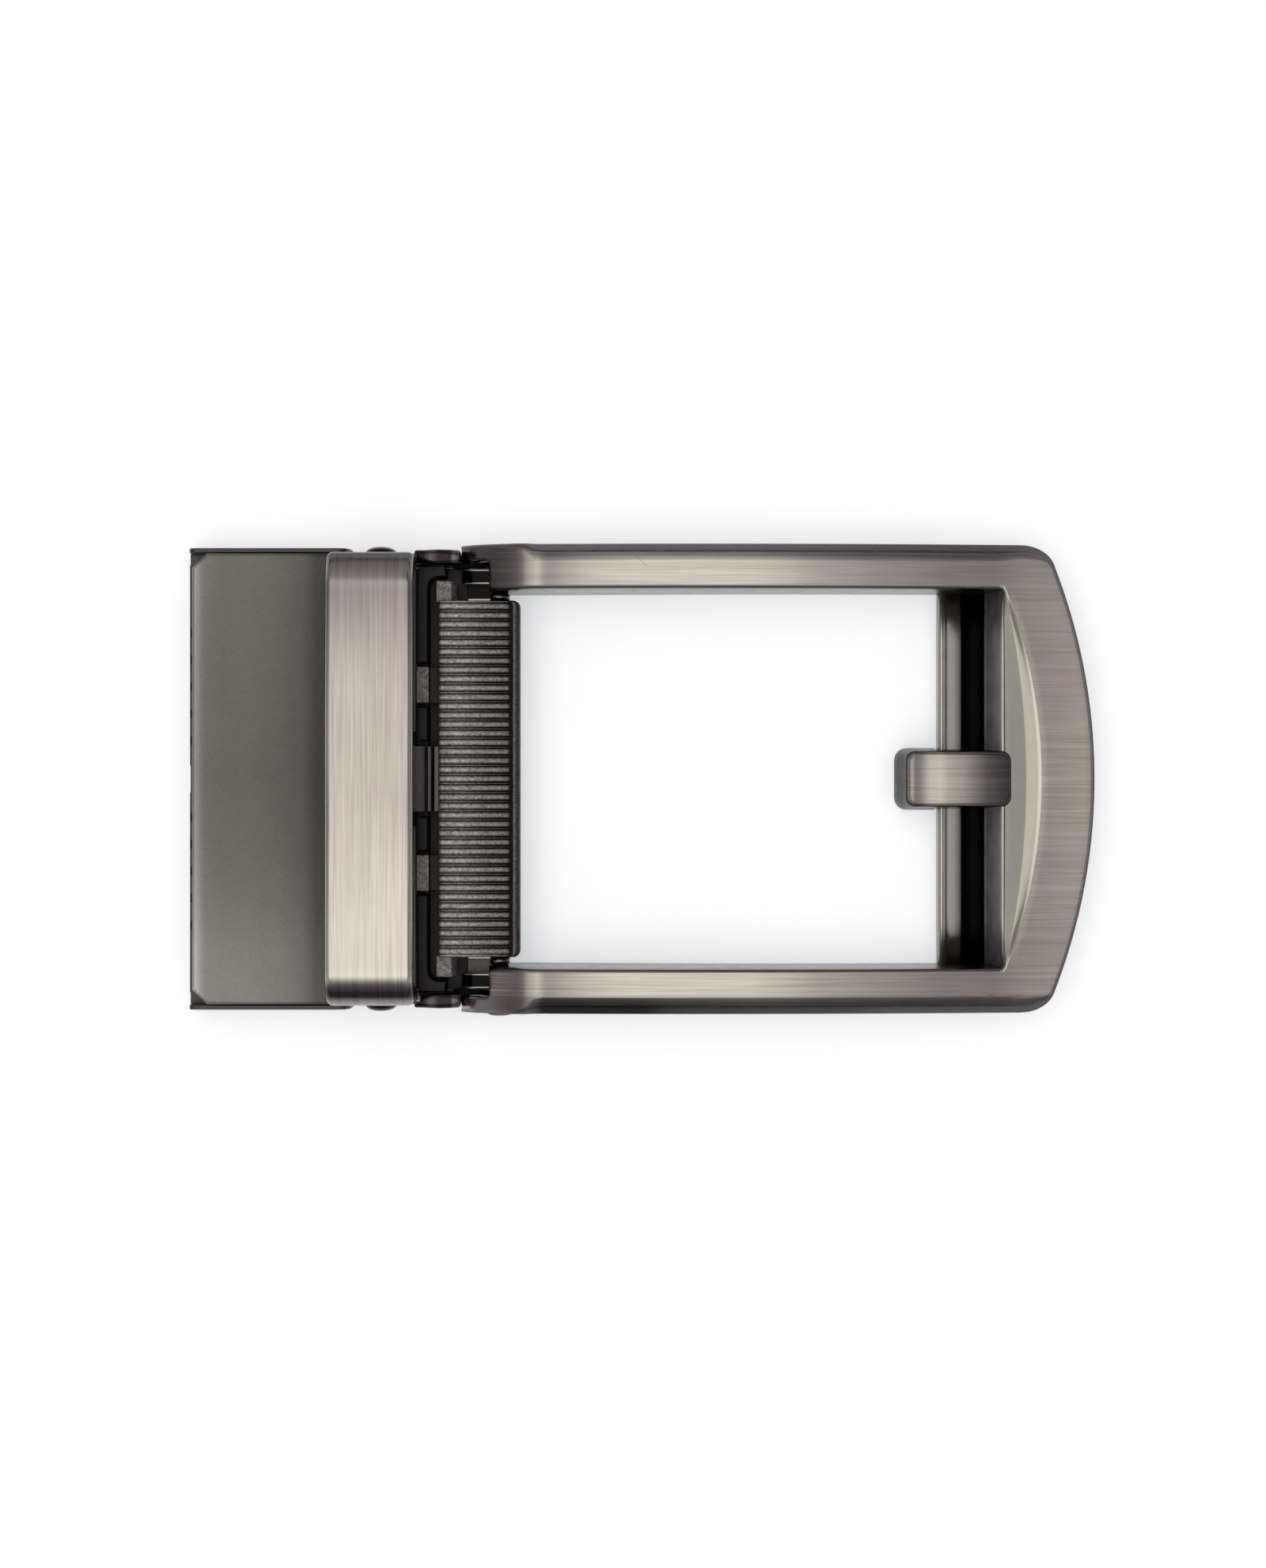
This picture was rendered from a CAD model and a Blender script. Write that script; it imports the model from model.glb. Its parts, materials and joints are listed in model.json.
"""Looks of the ratchet belt buckle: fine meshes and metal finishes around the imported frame."""
import json
import math

import bmesh
import bpy
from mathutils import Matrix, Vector


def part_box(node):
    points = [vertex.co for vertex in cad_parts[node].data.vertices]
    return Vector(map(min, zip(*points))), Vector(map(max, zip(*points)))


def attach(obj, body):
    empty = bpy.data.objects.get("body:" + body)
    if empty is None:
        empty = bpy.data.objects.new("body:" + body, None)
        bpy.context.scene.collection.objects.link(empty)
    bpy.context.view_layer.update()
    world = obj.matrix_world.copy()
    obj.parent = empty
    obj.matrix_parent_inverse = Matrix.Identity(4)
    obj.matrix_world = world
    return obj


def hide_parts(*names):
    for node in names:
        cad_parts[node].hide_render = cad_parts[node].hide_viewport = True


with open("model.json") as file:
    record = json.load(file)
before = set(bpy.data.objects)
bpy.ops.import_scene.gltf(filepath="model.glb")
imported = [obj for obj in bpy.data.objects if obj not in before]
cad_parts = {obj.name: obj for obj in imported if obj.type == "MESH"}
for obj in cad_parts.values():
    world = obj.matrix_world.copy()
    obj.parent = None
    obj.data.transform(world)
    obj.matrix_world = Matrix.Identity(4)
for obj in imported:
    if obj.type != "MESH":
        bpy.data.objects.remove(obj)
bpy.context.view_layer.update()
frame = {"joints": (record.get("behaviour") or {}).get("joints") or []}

# --- Units and places. Everything below is in millimetres until mesh_object().
MM = 0.001


def box_mm(node):
    """Lowest and highest corner of a CAD node at rest, in millimetres."""
    low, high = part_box(node)
    return [c / MM for c in low], [c / MM for c in high]


def joint_mm(name):
    """Where a hinge is, in millimetres."""
    for joint in frame["joints"]:
        if joint["name"] == name:
            return [c / MM for c in joint["pos_m"]]
    raise KeyError(name)


PIN_X, _, PIN_Z = joint_mm("frame_lift")
RIVET_X, _, RIVET_Z = joint_mm("clamp_open")
FRAME_LO, FRAME_HI = box_mm("buckle_frame")
PLATE_LO, PLATE_HI = box_mm("body_plate")
LOOP_LO, LOOP_HI = box_mm("keeper_loop")
_, LEVER_HI = box_mm("ratchet_lever")
PRONG_LO, PRONG_HI = box_mm("false_prong")
TOOTH_LO, TOOTH_HI = box_mm("ratchet_tooth")
HOUSING_LO, HOUSING_HI = box_mm("lever_housing")
FLAP_LO, FLAP_HI = box_mm("clamp_flap")


# --- Mesh helpers
def mesh_object(name, verts, faces, materials, face_materials=None):
    """A smooth-shaded object from vertices in millimetres."""
    mesh = bpy.data.meshes.new(name)
    mesh.from_pydata([Vector(v) * MM for v in verts], [], faces)
    if face_materials:
        for polygon, index in zip(mesh.polygons, face_materials):
            polygon.material_index = index
    tidy = bmesh.new()
    tidy.from_mesh(mesh)
    bmesh.ops.remove_doubles(tidy, verts=tidy.verts, dist=2e-7)
    bmesh.ops.recalc_face_normals(tidy, faces=tidy.faces)
    tidy.to_mesh(mesh)
    tidy.free()
    mesh.shade_smooth()
    for material in materials:
        mesh.materials.append(material)
    obj = bpy.data.objects.new(name, mesh)
    bpy.context.scene.collection.objects.link(obj)
    return obj


def loft(name, rings, materials, ring_material=None, caps=True):
    """Skins closed rings of equal length. ring_material(i) gives the material of the i-th strip."""
    count = len(rings[0])
    verts = [v for ring in rings for v in ring]
    faces = []
    slots = []
    for r in range(len(rings) - 1):
        for i in range(count):
            j = (i + 1) % count
            faces.append((r * count + i, r * count + j, (r + 1) * count + j, (r + 1) * count + i))
            slots.append(ring_material(i) if ring_material else 0)
    if caps:
        faces.append(tuple(reversed(range(count))))
        faces.append(tuple((len(rings) - 1) * count + i for i in range(count)))
        slots += [0, 0]
    return mesh_object(name, verts, faces, materials, slots)


AXES = {
    "x": lambda a, b, c: (c, a, b),   # outline in (y, z), along x
    "y": lambda a, b, c: (a, c, b),   # outline in (x, z), along y
    "z": lambda a, b, c: (a, b, c),   # outline in (x, y), along z
}


def prism(name, outline, axis, low, high, material):
    """A straight bar: an outline drawn out along one axis."""
    turn = AXES[axis]
    count = len(outline)
    verts = [turn(a, b, end) for end in (low, high) for a, b in outline]
    faces = [tuple(range(count)), tuple(range(2 * count - 1, count - 1, -1))]
    for i in range(count):
        j = (i + 1) % count
        faces.append((i, j, count + j, count + i))
    return mesh_object(name, verts, faces, [material])


def block(name, x, y, z, material):
    """A box between two x, two y and two z values."""
    outline = [(x[0], y[0]), (x[1], y[0]), (x[1], y[1]), (x[0], y[1])]
    return prism(name, outline, "z", z[0], z[1], material)


def turned(name, centre, profile, material, sides=48):
    """A lathe shape about the y direction through centre (x, z); profile of (radius, y)."""
    rings = [[(x, y, z) for x, z in circle(*centre, radius, sides)] for radius, y in profile]
    return loft(name, rings, [material])


def modifier(obj, kind, name, **values):
    mod = obj.modifiers.new(name, kind)
    for key, value in values.items():
        setattr(mod, key, value)
    return mod


def rounded(obj, width, segments=3, angle=30):
    """Rounds every edge sharper than angle and keeps the flat faces flat."""
    modifier(obj, "BEVEL", "Bevel", width=width * MM, segments=segments, limit_method="ANGLE",
             angle_limit=math.radians(angle), use_clamp_overlap=True, harden_normals=False)
    modifier(obj, "WEIGHTED_NORMAL", "Normals", keep_sharp=False, weight=60)
    return obj


def combine(target, *others, operation="UNION"):
    """Boolean of closed meshes, applied; the others are used up."""
    for other in others:
        mod = modifier(target, "BOOLEAN", "Join", operation=operation, object=other, solver="EXACT")
        bpy.context.view_layer.objects.active = target
        with bpy.context.temp_override(object=target, active_object=target):
            bpy.ops.object.modifier_apply(modifier=mod.name)
        bpy.data.objects.remove(other, do_unlink=True)
    return target


def cut(target, *others):
    return combine(target, *others, operation="DIFFERENCE")


def arc_points(cx, cy, radius, start, end, steps):
    """Points of an arc, angles in degrees."""
    points = []
    for k in range(steps + 1):
        angle = math.radians(start + (end - start) * k / steps)
        points.append((cx + radius * math.cos(angle), cy + radius * math.sin(angle)))
    return points


def circle(cx, cy, radius, sides):
    return arc_points(cx, cy, radius, 0, 360 - 360 / sides, sides - 1)


def bore(x, z, radius, material, sides=24):
    """A round cutter along y, longer than the buckle is wide."""
    return prism("bore_cut", circle(x, z, radius, sides), "y", -24, 24, material)


def across(side, near, far):
    """Lowest and highest y of a piece between two distances from the middle."""
    return sorted((side * near, side * far))


def named(name, side):
    """Name of one of a pair of pieces; side is 1 above the middle and -1 below it."""
    return name + ("_upper" if side > 0 else "_lower")


def place(obj, body, slot, *nodes):
    """Rides obj on a CAD body, gives it a material slot and hides the CAD nodes it stands for."""
    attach(obj, body)
    if nodes:
        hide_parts(*nodes)
    return obj


# --- Materials
class Tree:
    """Shorthand for building one node tree."""

    def __init__(self, tree):
        self.tree = tree

    def add(self, kind, **inputs):
        node = self.tree.nodes.new(kind)
        for key, value in inputs.items():
            self.feed(node.inputs[key.replace("_", " ")], value)
        return node

    def feed(self, socket, value):
        if isinstance(value, bpy.types.NodeSocket):
            self.tree.links.new(value, socket)
        else:
            socket.default_value = value

    def spread(self, value, low, high, source=(0.3, 0.7), interpolation="LINEAR"):
        """Maps a range, by default the useful range of a noise, to low..high."""
        node = self.add("ShaderNodeMapRange", Value=value, From_Min=source[0], From_Max=source[1], To_Min=low,
                        To_Max=high)
        node.interpolation_type = interpolation
        return node.outputs["Result"]

    def math(self, operation, a, b=0.0):
        node = self.tree.nodes.new("ShaderNodeMath")
        node.operation = operation
        self.feed(node.inputs[0], a)
        self.feed(node.inputs[1], b)
        return node.outputs[0]

    def plus(self, a, b):
        return self.math("ADD", a, b)

    def times(self, a, b):
        return self.math("MULTIPLY", a, b)

    def distance(self, a, b):
        return self.math("ABSOLUTE", self.math("SUBTRACT", a, b))

    def blend(self, factor, a, b, mode="MIX"):
        node = self.tree.nodes.new("ShaderNodeMix")
        node.data_type = "RGBA"
        node.blend_type = mode
        self.feed(node.inputs["Factor"], factor)
        self.feed(node.inputs["A"], a)
        self.feed(node.inputs["B"], b)
        return node.outputs["Result"]

    def tinted(self, a, b):
        """The product of two colours."""
        return self.blend(1.0, a, b, "MULTIPLY")


class Nodes(Tree):
    """The node tree of one material of the buckle, or of the floor."""

    def __init__(self, name, metallic=1.0):
        self.material = bpy.data.materials.new(name)
        self.material.use_nodes = True
        super().__init__(self.material.node_tree)
        self.shader = self.tree.nodes["Principled BSDF"]
        self.shader.inputs["Metallic"].default_value = metallic

    def coordinates(self, stretch=(1, 1, 1)):
        source = self.add("ShaderNodeTexCoord")
        mapping = self.add("ShaderNodeMapping", Vector=source.outputs["Object"], Scale=stretch)
        return mapping.outputs["Vector"]

    def axis(self, letter):
        """One object coordinate, in millimetres."""
        split = self.add("ShaderNodeSeparateXYZ", Vector=self.coordinates((1 / MM, 1 / MM, 1 / MM)))
        return split.outputs[letter]

    def noise(self, scale, detail=3.0, stretch=(1, 1, 1), roughness=0.55):
        node = self.add("ShaderNodeTexNoise", Vector=self.coordinates(stretch), Scale=scale,
                        Detail=detail, Roughness=roughness)
        return node.outputs["Fac"]

    def near(self, value, centre, reach):
        """1 at centre, falling to 0 at a distance of reach."""
        return self.spread(self.distance(value, centre), 1.0, 0.0, (0.0, reach))

    def tones(self, letter, stops, colour=None):
        """Tone of the plating along one object axis; stops of (millimetres, tone)."""
        colour = colour or neutral
        first, last = stops[0][0], stops[-1][0]
        ramp = self.add("ShaderNodeValToRGB", Fac=self.spread(self.axis(letter), 0.0, 1.0, (first, last)))
        elements = ramp.color_ramp.elements
        elements[0].color = colour(stops[0][1])
        elements[1].color = colour(stops[-1][1])
        for position, tone in stops[1:-1]:
            elements.new((position - first) / (last - first)).color = colour(tone)
        return ramp.outputs["Color"]

    def lower_side(self, tint, stops):
        """Another tone along x on the side with y below zero."""
        below = self.spread(self.axis("Y"), 1.0, 0.0, (-6.0, 6.0))
        return self.blend(below, tint, self.tinted(tint, self.tones("X", stops)))

    def bump(self, height, distance, strength=1.0):
        node = self.add("ShaderNodeBump", Height=height, Distance=distance, Strength=strength)
        return node.outputs["Normal"]

    def finish(self, colour, roughness, normal):
        self.feed(self.shader.inputs["Base Color"], colour)
        self.feed(self.shader.inputs["Roughness"], roughness)
        self.feed(self.shader.inputs["Normal"], normal)
        return self.material


def rgba(r, g, b):
    return (r, g, b, 1.0)


def shade(colour, factor):
    return rgba(*[c * factor for c in colour[:3]])


def neutral(tone):
    """A grey."""
    return rgba(tone, tone, tone)


def dusky(tone):
    """A tone of the plating: the darker, the more mauve."""
    return rgba(tone, tone * (0.9 + 0.1 * tone), tone * (1.12 - 0.12 * tone))


def brushed_metal(name, light, along, rough, tones, wear=None):
    """Brushed plating: fine and coarse streaks along one axis, a faint cloudiness and uneven tone."""
    nodes = Nodes(name)

    def streaks(scale, detail, run):
        return nodes.noise(scale, detail, (run, 1.0, run) if along == "x" else (1.0, run, run))

    fine, coarse, broad = streaks(9000, 2.0, 0.01), streaks(4600, 2.0, 0.02), streaks(900, 1.0, 0.05)
    streak = nodes.plus(nodes.times(fine, 0.6), nodes.times(coarse, 0.4))
    tint = nodes.blend(nodes.spread(streak, 0.0, 1.0, (0.36, 0.64)), shade(light, 0.68), light)
    tint = nodes.blend(nodes.spread(broad, 0.16, 0.0), tint, shade(light, 0.62))
    mauve = nodes.tinted(tint, rgba(0.93, 0.87, 0.9))
    tint = nodes.blend(nodes.spread(nodes.noise(170, 2.0), 0.0, 0.5), tint, mauve)
    tint = nodes.tinted(tint, nodes.tones(*tones, dusky))
    if wear:
        tint = wear(nodes, tint)
    return nodes.finish(tint, nodes.spread(fine, *rough), nodes.bump(streak, 0.8e-5))


def frame_wear(nodes, tint):
    """Plating rubbed brown along the far bevel edge of the lower arm, and one hairline scratch."""
    x, y = nodes.axis("X"), nodes.axis("Y")
    worn_x, worn_length = 31.0, 6.0
    patches = nodes.math("GREATER_THAN", nodes.noise(1500, 3.0, (0.5, 2.0, 1.0)), 0.53)
    edge = nodes.near(y, BEVEL - FRAME_HALF, 0.55)
    rubbed = nodes.times(nodes.times(patches, nodes.near(x, worn_x, worn_length)), edge)
    tint = nodes.blend(nodes.times(rubbed, 0.8), tint, rgba(0.16, 0.075, 0.06))
    slanted = nodes.plus(y, nodes.times(x, 0.9))
    line = nodes.math("LESS_THAN", nodes.distance(slanted, 19.1), 0.03)
    scratch = nodes.times(line, nodes.math("GREATER_THAN", nodes.near(x, 0.15, 0.5), 0.01))
    lower_edge = nodes.spread(y, 0.6, 0.0, (-19.2, -18.75))
    tint = nodes.blend(lower_edge, tint, rgba(0.05, 0.045, 0.045))
    tint = nodes.lower_side(tint, LOWER_LOBE)
    return nodes.blend(nodes.times(scratch, 0.7), tint, rgba(0.12, 0.1, 0.1))


def edge_wear(nodes, tint):
    """The first curve of the bevel: as the front, but dark on the lower arm."""
    return nodes.lower_side(frame_wear(nodes, tint), LOWER_EDGE)


def satin_metal(name, colour, rough, mottling, tones=()):
    """Smooth plated sheet with faint waves from pressing and fine speckle; tones of (axis, stops)."""
    nodes = Nodes(name)
    waves = nodes.noise(420, 3.0, (1.0, 0.45, 1.0), 0.6)
    ripple = nodes.noise(1500, 2.0, (1.0, 0.35, 1.0))
    grain = nodes.noise(7000, 2.0)
    tint = nodes.blend(nodes.spread(waves, 0.0, 1.0), shade(colour, 1 - mottling), colour)
    speckle = nodes.tinted(tint, rgba(0.84, 0.84, 0.83))
    tint = nodes.blend(nodes.spread(grain, 0.0, 1.0), speckle, tint)
    for letter, stops in tones:
        tint = nodes.tinted(tint, nodes.tones(letter, stops))
    height = nodes.plus(nodes.plus(waves, nodes.times(grain, 0.15)), nodes.times(ripple, 0.35))
    return nodes.finish(tint, nodes.spread(waves, *rough), nodes.bump(height, 5e-6, 0.6))


def polished_metal(name, colour, rough=(0.2, 0.3), tones=None, lower=None, edge=1.0):
    """Polished dark plating with a little dust and handling haze; tones and lower are stops along x.

    A low edge keeps steep walls dark where they are seen along their surface.
    """
    nodes = Nodes(name)
    nodes.shader.inputs["Specular Tint"].default_value = neutral(edge)
    haze = nodes.noise(900, 4.0)
    tint = nodes.blend(nodes.spread(haze, 0.0, 1.0), shade(colour, 0.86), colour)
    if tones:
        tint = nodes.lower_side(nodes.tinted(tint, nodes.tones("X", tones)), lower)
    return nodes.finish(tint, nodes.spread(haze, *rough), nodes.bump(haze, 2.0e-6, 0.4))


def cast_metal(name, colour, rough=(0.42, 0.6), ribbed=False):
    """As-cast plated zinc: fine grain and small pits; between ribs the plating stays dark."""
    nodes = Nodes(name)
    grain = nodes.noise(4200, 4.0, roughness=0.75)
    lumps = nodes.noise(1400, 3.0)
    speck = nodes.add("ShaderNodeTexVoronoi", Vector=nodes.coordinates(), Scale=3200.0)
    pits = nodes.math("LESS_THAN", speck.outputs["Distance"], 0.16)
    tint = nodes.blend(nodes.spread(grain, 0.0, 1.0, (0.36, 0.64)), shade(colour, 0.4), shade(colour, 1.15))
    tint = nodes.blend(nodes.times(pits, 0.6), tint, rgba(0.02, 0.02, 0.02))
    if ribbed:
        x, z = nodes.axis("X"), nodes.axis("Z")
        rub = nodes.spread(z, 0.0, 1.0, (LEVER_HI[2] - 0.42, LEVER_HI[2] - 0.12))
        handled = nodes.spread(x, 1.0, 0.62, (LEVER_HI[0] - 5.4, LEVER_HI[0] - 3.0))
        rim = nodes.spread(x, 1.0, 0.5, (LEVER_HI[0] - 1.15, LEVER_HI[0] - 0.85))
        tint = nodes.blend(nodes.times(nodes.times(rub, handled), rim), rgba(0.02, 0.018, 0.018), tint)
    height = nodes.plus(grain, nodes.times(lumps, 0.8))
    return nodes.finish(tint, nodes.spread(lumps, *rough), nodes.bump(height, 4.5e-5, 0.7))


BEVEL = 1.45                      # chamfer along the outside of the frame
FRAME_HALF = FRAME_HI[1]

# Tones of the plating: (millimetres along the axis, share of the metal's own colour).
FRAME_TONES = ("X", [
    (-13.0, 0.33), (-11.6, 0.4), (-10.6, 0.29), (-10.2, 0.36), (-9.95, 0.53), (-9.7, 0.65), (-8.9, 0.85),
    (-8.2, 0.53), (-7.6, 0.54), (-6.4, 0.67), (-4.0, 0.87), (-0.5, 1.0), (9.8, 0.97), (13.2, 0.82),
    (15.5, 0.66), (20.0, 0.53), (27.0, 0.4), (31.0, 0.4), (33.0, 0.52), (35.5, 0.62), (39.0, 0.8)])
LOWER_LOBE = [
    (-15.7, 6.0), (-14.7, 5.0), (-14.2, 3.2), (-13.0, 3.4), (-12.2, 2.2), (-11.6, 1.75), (-11.1, 1.3),
    (-10.5, 0.95), (-10.2, 0.82), (-9.7, 0.98), (-9.2, 1.0), (39.0, 1.0)]
LOWER_EDGE = [
    (-9.8, 1.0), (-8.6, 0.35), (-0.5, 0.3), (2.6, 0.45), (9.0, 0.55), (18.0, 0.7), (31.0, 1.0), (39.0, 1.0)]
BEVEL_TONES = [
    (-10.0, 1.15), (10.0, 1.15), (16.0, 1.0), (22.0, 0.82), (25.0, 0.74), (33.0, 0.72)]
LOWER_BEVEL = [
    (-9.8, 0.9), (-8.4, 0.13), (-0.5, 0.13), (0.8, 0.17), (2.6, 0.36), (4.4, 0.44), (9.0, 0.5),
    (18.0, 0.64), (22.0, 1.04), (31.0, 1.15), (34.0, 1.0)]
PRONG_TONES = ("X", [
    (23.4, 0.9), (23.75, 0.66), (24.1, 0.3), (24.6, 0.4), (25.3, 0.82), (26.3, 0.93), (27.0, 0.72),
    (28.3, 0.64), (29.5, 0.44), (30.4, 0.3), (31.6, 0.26)])
LOOP_TONES = ("Y", [
    (-19.6, 0.62), (-19.1, 0.46), (-18.9, 0.2), (-18.65, 0.08), (-18.3, 0.08), (-17.95, 0.2),
    (-17.65, 0.44), (-17.35, 0.95), (-17.1, 1.08), (-16.0, 1.0), (-13.0, 1.0), (-8.4, 0.94), (-5.0, 0.87),
    (-1.0, 0.8), (7.5, 0.79), (9.5, 0.75), (11.1, 0.69), (12.7, 0.61), (14.4, 0.52), (16.0, 0.46),
    (17.2, 0.56), (17.9, 0.62), (18.5, 0.45), (19.0, 0.3), (19.3, 0.15)])
PLATE_TONES = [
    ("Y", [(-18.5, 1.02), (-15.0, 0.95), (-11.0, 0.76), (-6.0, 0.64), (0.0, 0.58), (14.0, 0.66),
           (19.0, 0.72)]),
    ("X", [(-39.0, 2.6), (-38.8, 2.1), (-38.55, 1.75), (-38.3, 1.35), (-37.9, 1.1), (-36.5, 1.0),
           (-34.0, 0.98), (-31.5, 0.87), (-29.5, 0.7), (-28.2, 0.4)]),
]

LOOP_METAL = brushed_metal("brushed_loop", rgba(0.54, 0.527, 0.45), "y", (0.2, 0.3), LOOP_TONES)
FRAME_METAL = brushed_metal("brushed_frame", rgba(0.455, 0.445, 0.38), "x", (0.17, 0.27), FRAME_TONES,
                            frame_wear)
PRONG_METAL = brushed_metal("brushed_prong", rgba(0.45, 0.44, 0.377), "x", (0.17, 0.27), PRONG_TONES)
BEVEL_METAL = polished_metal("frame_bevel", rgba(0.115, 0.107, 0.11))
BEVEL_FACE = polished_metal("bevel_face", rgba(0.115, 0.107, 0.11), tones=BEVEL_TONES, lower=LOWER_BEVEL)
SIDE_METAL = polished_metal("prong_side", rgba(0.02, 0.0185, 0.0205), edge=0.58)
EDGE_METAL = brushed_metal("frame_edge", rgba(0.42, 0.4, 0.38), "x", (0.42, 0.52), FRAME_TONES, edge_wear)
FLAP_STEEL = satin_metal("flap_steel", rgba(0.07, 0.066, 0.065), (0.3, 0.42), 0.2)
CRESCENT_METAL = polished_metal("crescent_fillet", rgba(0.35, 0.338, 0.287), (0.24, 0.34))
RIDGE_METAL = polished_metal("bright_ridge", rgba(0.52, 0.5, 0.44), (0.3, 0.4))
BRIGHT_METAL = polished_metal("polished_nickel", rgba(0.2, 0.196, 0.178))
INNER_METAL = polished_metal("window_wall", rgba(0.14, 0.137, 0.128))
WALL_METAL = polished_metal("shaded_wall", rgba(0.42, 0.41, 0.44), (0.5, 0.6))
TINE_METAL = polished_metal("tine_black", rgba(0.007, 0.0065, 0.0062), (0.12, 0.2))
COVE_METAL = satin_metal("cove_black", rgba(0.004, 0.004, 0.004), (0.35, 0.45), 0.3)
PLATE_METAL = satin_metal("satin_plate", rgba(0.175, 0.17, 0.156), (0.28, 0.34), 0.12, tones=PLATE_TONES)
DARK_STEEL = satin_metal("dark_steel", rgba(0.033, 0.031, 0.032), (0.35, 0.5), 0.3)
TOOTH_STEEL = satin_metal("tooth_steel", rgba(0.1, 0.092, 0.096), (0.3, 0.42), 0.3)
CAST_METAL = cast_metal("cast_grey", rgba(0.24, 0.232, 0.218))
RIB_METAL = cast_metal("cast_ribs", rgba(0.36, 0.347, 0.332), (0.34, 0.5), ribbed=True)
PIN_METAL = polished_metal("pin_steel", rgba(0.16, 0.15, 0.145))
SPRING_METAL = polished_metal("spring_wire", rgba(0.5, 0.5, 0.48))
CHEEK_METAL = satin_metal("polished_cheek", rgba(0.06, 0.053, 0.053), (0.12, 0.2), 0.2, [("X", [
    (-20.0, 0.25), (-18.9, 0.3), (-18.3, 1.6), (-17.6, 0.5), (-16.55, 0.5), (-16.3, 2.4), (-15.9, 1.9)])])


# --- Frame: one skin through sections that run up one arm, round the end and down the other
TIP = FRAME_HI[0]
INNER = 16.57                     # half of the window, at the front
DRAFT = 0.2
NOSE = FRAME_LO[0]
ROOF_END = -13.2                  # the fork starts left of this
WINDOW_END = 31.87
CROWN_X, CROWN_Z, END_Z = 5.0, 7.2, 4.7
END_ARC_R = 50.4
CRESCENT_R = 44.1
CRESCENT_APEX = 35.27
CRESCENT_DEPTH = 0.5
END_EDGE = 0.34                   # rounding along the curved end


def smooth_step(value, low, high):
    t = min(1.0, max(0.0, (value - low) / (high - low)))
    return t * t * (3 - 2 * t)


def crowned_front(x):
    """Front of the frame along its arms: highest near the middle, lowest at the curved end."""
    fall = (CROWN_Z - END_Z) / (TIP - CROWN_X) ** 2
    return CROWN_Z - fall * (x - CROWN_X) ** 2


SHOULDER = [(NOSE, 3.15), (-15.52, 3.62), (-15.0, 4.22), (-14.2, 4.86), (-13.2, 5.42), (-12.0, 5.93),
            (-10.9, 6.38), (-10.4, 6.54), (-9.6, 6.7), (-8.7, crowned_front(-8.7))]


def front_z(x):
    """Front of the frame: crowned, then a sloping shoulder and the rounded nose at the hinge."""
    for (x0, z0), (x1, z1) in zip(SHOULDER, SHOULDER[1:]):
        if x <= x1:
            return z0 + (z1 - z0) * max(0.0, x - x0) / (x1 - x0)
    return crowned_front(x)


def back_z(x):
    """Back of the frame: hollow between the ends, rounded under the hinge."""
    heel, hollow, nose_z, heel_z = -9.5, -6, 3.15, 0.3
    if x < heel:
        reach = (heel - x) / (heel - NOSE)
        return nose_z - (nose_z - heel_z) * math.sqrt(max(0.0, 1 - reach ** 2.6))
    if x < hollow:
        t = smooth_step(x, heel, hollow)
        return heel_z * (1 - t) + hollow_back(hollow) * t
    return hollow_back(x)


def hollow_back(x):
    middle = 12.0
    return max(0.0, 1.7 * (1 - ((x - middle) / (TIP - middle - 4)) ** 2))


def end_arc_x(y):
    """Outside of the curved end."""
    return TIP - END_ARC_R + math.sqrt(END_ARC_R ** 2 - y * y)


def ridge_x(y):
    """Bright edge between the sunk crescent and the front."""
    return CRESCENT_APEX - CRESCENT_R + math.sqrt(CRESCENT_R ** 2 - y * y)


def frame_stations():
    """Pairs of inner and outer plan points, from the nose of the upper arm to the middle of the end."""
    nose_end, nose_steps, arm_steps, bend_steps, end_steps = -8.4, 14, 44, 10, 30
    corner = 0.35                 # of the window
    bend_x, bend_y = 33.4, 18.4   # where the curve of the outer corner begins and ends
    arm = [NOSE + (nose_end - NOSE) * (1 - math.cos(k / nose_steps * math.pi / 2)) for k in range(nose_steps)]
    arm += [nose_end + (WINDOW_END - corner - nose_end) * k / arm_steps for k in range(arm_steps + 1)]
    stations = [((x, INNER), (x, FRAME_HALF)) for x in arm]
    end_x = end_arc_x(bend_y)
    outer = [(WINDOW_END + 0.6, FRAME_HALF), (bend_x, FRAME_HALF)]
    for k in range(1, bend_steps + 1):
        t = k / bend_steps
        x = (1 - t) ** 2 * bend_x + 2 * t * (1 - t) * (end_x - 0.6) + t * t * end_x
        outer.append((x, (1 - t * t) * FRAME_HALF + t * t * bend_y))
    outer += [(end_arc_x(y), y) for y in (17.9, 17.35, 16.8)]
    for k, point in enumerate(outer):
        angle = math.radians(90 * (1 - (k + 1) / (len(outer) + 1)))
        inner = (WINDOW_END - corner * (1 - math.cos(angle)), INNER - corner * (1 - math.sin(angle)))
        stations.append((inner, point))
    for k in range(end_steps + 1):
        y = 16.2 * (1 - k / end_steps)
        stations.append(((WINDOW_END, y), (end_arc_x(y), y)))
    return stations


FRONT_COLUMNS = 8
CRESCENT_COLUMNS = 9


def bevel_drop(t):
    """Chamfer with a rounded start, as a share of its depth."""
    return t * t / 1.2 if t < 0.6 else t - 0.3


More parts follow.
